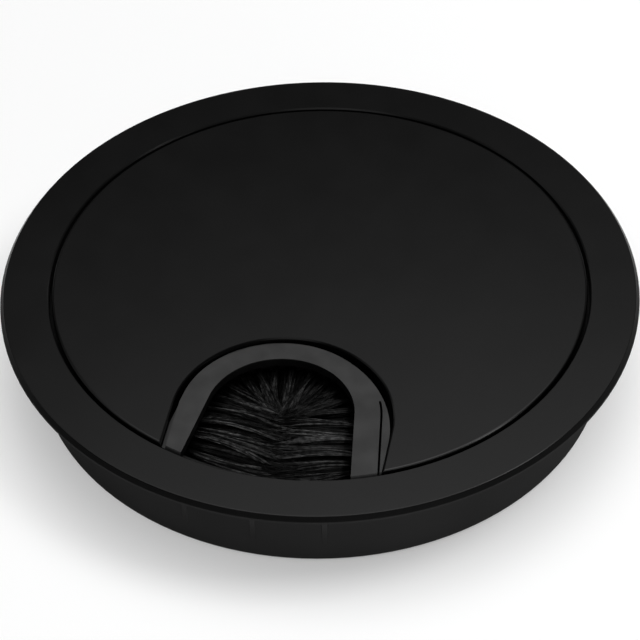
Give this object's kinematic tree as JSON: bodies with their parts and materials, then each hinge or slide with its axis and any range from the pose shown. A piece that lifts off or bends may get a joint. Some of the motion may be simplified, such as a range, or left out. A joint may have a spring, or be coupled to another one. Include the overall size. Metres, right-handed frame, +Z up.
{
  "type": "brush cable grommet",
  "caption": "Round black desk grommet: flanged sleeve for a desk hole, with a flush turning lid whose arched cable outlet is closed by inward-pointing bristles.",
  "frame": {"origin": "on the sleeve's axis at the underside of the flange, which is the desk's surface", "axes": "+Z up out of the desk along the sleeve's axis, -Y the way the cable outlet opens, +X to the right seen from the outlet"},
  "size_m": [0.088, 0.088, 0.013],
  "materials": {
    "ring_plastic": "satin black moulded plastic",
    "lid_plastic": "satin black moulded plastic",
    "carrier_plastic": "dull black moulded plastic, a little lighter than the lid",
    "backing_plastic": "plain black strip",
    "bristle_fibre": "fine black nylon fibre with a soft sheen"
  },
  "bodies": {
    "ring": {"base_ring": "ring_plastic"},
    "cover": {"lid": "lid_plastic", "brush_carrier": "carrier_plastic", "brush_backing": "backing_plastic", "bristles": "bristle_fibre"}
  },
  "joints": [
    {"name": "cover_turn", "type": "hinge", "parent": "ring", "child": "cover", "pos_m": [0, 0, 0], "axis": [0, 0, 1], "continuous": true}
  ]
}
